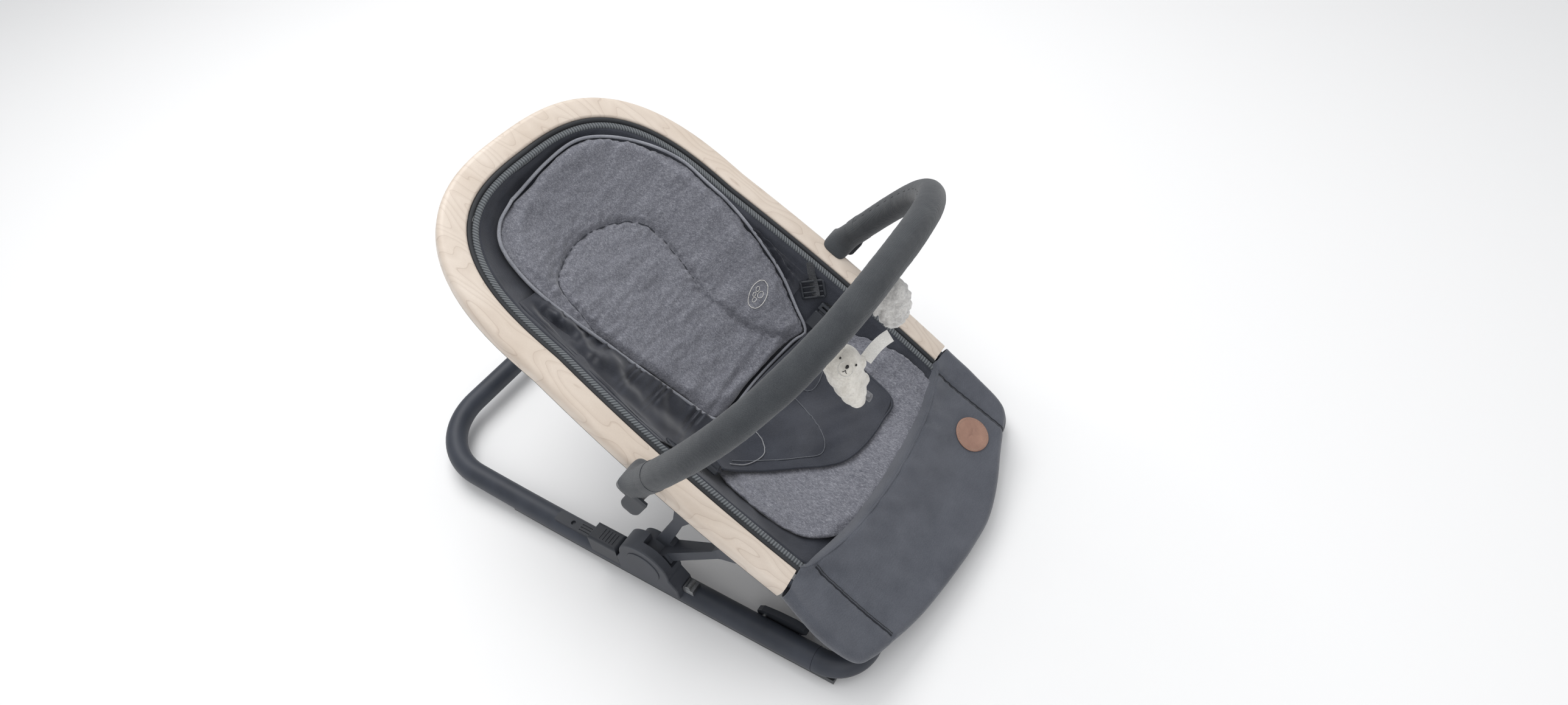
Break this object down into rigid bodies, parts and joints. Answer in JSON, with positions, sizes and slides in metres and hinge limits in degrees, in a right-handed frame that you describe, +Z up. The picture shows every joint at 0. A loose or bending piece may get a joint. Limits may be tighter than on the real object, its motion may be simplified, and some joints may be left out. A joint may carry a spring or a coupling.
{
  "type": "infant bouncer seat",
  "caption": "Infant bouncer with a hammock seat in a wooden rim, a tubular rocker base, side recline hubs, a padded toy bar and hanging plush toys.",
  "frame": {"origin": "middle of the overall outline, on the floor", "axes": "+Z up, +Y towards the head end, X across the seat"},
  "size_m": [0.486, 0.7544, 0.4454],
  "materials": {
    "frame_paint": "satin",
    "runner_plastic": "matte",
    "rubber": "matte",
    "hub_plastic": "fine texture",
    "steel_pin": "satin",
    "wood": "clear satin lacquer",
    "steel_frame": "satin",
    "binding_fabric": "ribbed knit",
    "apron_fabric": "plain weave",
    "patch_leather": "embossed",
    "tub_fabric": "satin weave",
    "melange_fabric": "heather knit",
    "bar_fabric": "plain weave",
    "webbing_fabric": "webbing",
    "buckle_plastic": "moulded",
    "plush_cream": "plush",
    "plush_grey": "knit",
    "ribbon": "ribbon"
  },
  "bodies": {
    "base": {"base_tube": "frame_paint", "front_bar": "frame_paint", "runner_l": "runner_plastic", "runner_r": "runner_plastic", "heel_pad_l": "rubber", "heel_pad_r": "rubber", "hub_housing_l": "hub_plastic", "hub_housing_r": "hub_plastic", "lock_track_l": "hub_plastic", "lock_track_r": "hub_plastic", "hub_disc_l": "hub_plastic", "hub_disc_r": "hub_plastic", "hub_pin_l": "steel_pin", "hub_pin_r": "steel_pin", "end_stop_l": "steel_pin", "end_stop_r": "steel_pin", "foot_pin_l": "steel_pin", "foot_pin_r": "steel_pin"},
    "seat": {"seat_bracket_l": "hub_plastic", "seat_bracket_r": "hub_plastic", "rim_wood": "wood", "rim_lip": "rubber", "binding_band": "binding_fabric", "foot_frame": "steel_frame", "apron": "apron_fabric", "leather_patch": "patch_leather", "seat_tub": "tub_fabric", "back_cushion": "melange_fabric", "leg_pad": "melange_fabric", "harness_panel": "tub_fabric", "buckle_body_l": "buckle_plastic", "buckle_body_r": "buckle_plastic", "bar_socket_l": "hub_plastic", "bar_socket_r": "hub_plastic"},
    "slider_l": {"lock_slider_l": "hub_plastic"},
    "slider_r": {"lock_slider_r": "hub_plastic"},
    "foot_l": {"stop_foot_l": "hub_plastic"},
    "foot_r": {"stop_foot_r": "hub_plastic"},
    "toybar": {"toybar_core": "steel_frame", "toybar_pad": "bar_fabric", "bar_plug_l": "hub_plastic", "bar_plug_r": "hub_plastic"},
    "tab_l": {"release_tab_l": "hub_plastic"},
    "tab_r": {"release_tab_r": "hub_plastic"},
    "clip_l": {"buckle_clip_l": "buckle_plastic", "webbing_l": "webbing_fabric"},
    "clip_r": {"buckle_clip_r": "buckle_plastic", "webbing_r": "webbing_fabric"},
    "bear": {"bear_ribbon": "ribbon", "bear_toy": "plush_cream"},
    "rabbit": {"rabbit_ribbon": "ribbon", "rabbit_toy": "plush_grey"}
  },
  "joints": [
    {"name": "seat_recline", "type": "hinge", "parent": "base", "child": "seat", "pos_m": [0, -0.05, 0.064], "axis": [1, 0, 0], "range_deg": [-33.5, 0]},
    {"name": "lock_slide_l", "type": "slide", "parent": "base", "child": "slider_l", "axis": [0, 1, 0], "range_m": [0, 0.03], "stiffness_N_per_m": 250},
    {"name": "lock_slide_r", "type": "slide", "parent": "base", "child": "slider_r", "axis": [0, 1, 0], "range_m": [0, 0.03], "stiffness_N_per_m": 250},
    {"name": "stop_foot_l", "type": "hinge", "parent": "base", "child": "foot_l", "pos_m": [-0.202, -0.198, 0.024], "axis": [1, 0, 0], "range_deg": [0, 25]},
    {"name": "stop_foot_r", "type": "hinge", "parent": "base", "child": "foot_r", "pos_m": [0.202, -0.198, 0.024], "axis": [1, 0, 0], "range_deg": [0, 25]},
    {"name": "toybar_lift", "type": "slide", "parent": "seat", "child": "toybar", "axis": [0, -0.6794, 0.7337], "range_m": [0, 0.06]},
    {"name": "release_tab_l", "type": "hinge", "parent": "seat", "child": "tab_l", "pos_m": [-0.24, -0.08838, 0.2299], "axis": [0, -0.8339, -0.5519], "range_deg": [0, 5], "stiffness_Nm_per_rad": 0.5},
    {"name": "release_tab_r", "type": "hinge", "parent": "seat", "child": "tab_r", "pos_m": [0.24, -0.08838, 0.2299], "axis": [0, 0.8339, 0.5519], "range_deg": [0, 5], "stiffness_Nm_per_rad": 0.5},
    {"name": "buckle_clip_l", "type": "slide", "parent": "seat", "child": "clip_l", "axis": [-0.6428, -0.4228, 0.6388], "range_m": [0, 0.008]},
    {"name": "buckle_clip_r", "type": "slide", "parent": "seat", "child": "clip_r", "axis": [0.6428, -0.4228, 0.6388], "range_m": [0, 0.008]},
    {"name": "bear_swing", "type": "hinge", "parent": "toybar", "child": "bear", "pos_m": [-0.084, -0.24841, 0.42185], "axis": [1, 0, 0], "range_deg": [-25, 25]},
    {"name": "rabbit_swing", "type": "hinge", "parent": "toybar", "child": "rabbit", "pos_m": [0.018, -0.25184, 0.42556], "axis": [1, 0, 0], "range_deg": [-25, 25]}
  ]
}
